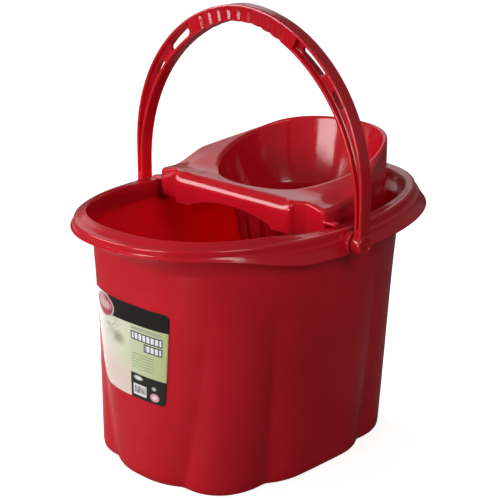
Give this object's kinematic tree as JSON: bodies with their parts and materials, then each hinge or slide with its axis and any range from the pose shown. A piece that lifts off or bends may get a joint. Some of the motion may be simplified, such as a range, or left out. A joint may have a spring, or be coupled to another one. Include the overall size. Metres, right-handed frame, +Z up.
{
  "type": "mop bucket with wringer",
  "caption": "Oval plastic mop bucket with lobed foot, flared rim, swinging arched handle and a lift-out funnel wringer with a raised hood.",
  "frame": {"origin": "centre of the bounding box on the floor plane, under the upright handle's span", "axes": "+Z up; +X toward the end that holds the wringer, -X toward the pouring end with the label; the handle pivots lie on the long sides along Y"},
  "size_m": [0.3989, 0.31, 0.4419],
  "materials": {
    "bucket_plastic": "glossy moulded polypropylene, red",
    "handle_plastic": "glossy moulded polypropylene, red",
    "wringer_plastic": "glossy moulded polypropylene, red",
    "label_film": "printed adhesive film, satin"
  },
  "bodies": {
    "bucket_body": {"bucket": "bucket_plastic", "label": "label_film"},
    "handle_body": {"handle": "handle_plastic"},
    "wringer_body": {"wringer": "wringer_plastic"}
  },
  "joints": [
    {"name": "handle_swing", "type": "hinge", "parent": "bucket_body", "child": "handle_body", "pos_m": [-0.017, 0, 0.237], "axis": [0, 1, 0], "range_deg": [-118, 78]},
    {"name": "wringer_lift", "type": "slide", "parent": "bucket_body", "child": "wringer_body", "axis": [0, 0, 1], "range_m": [0, 0.06]}
  ]
}
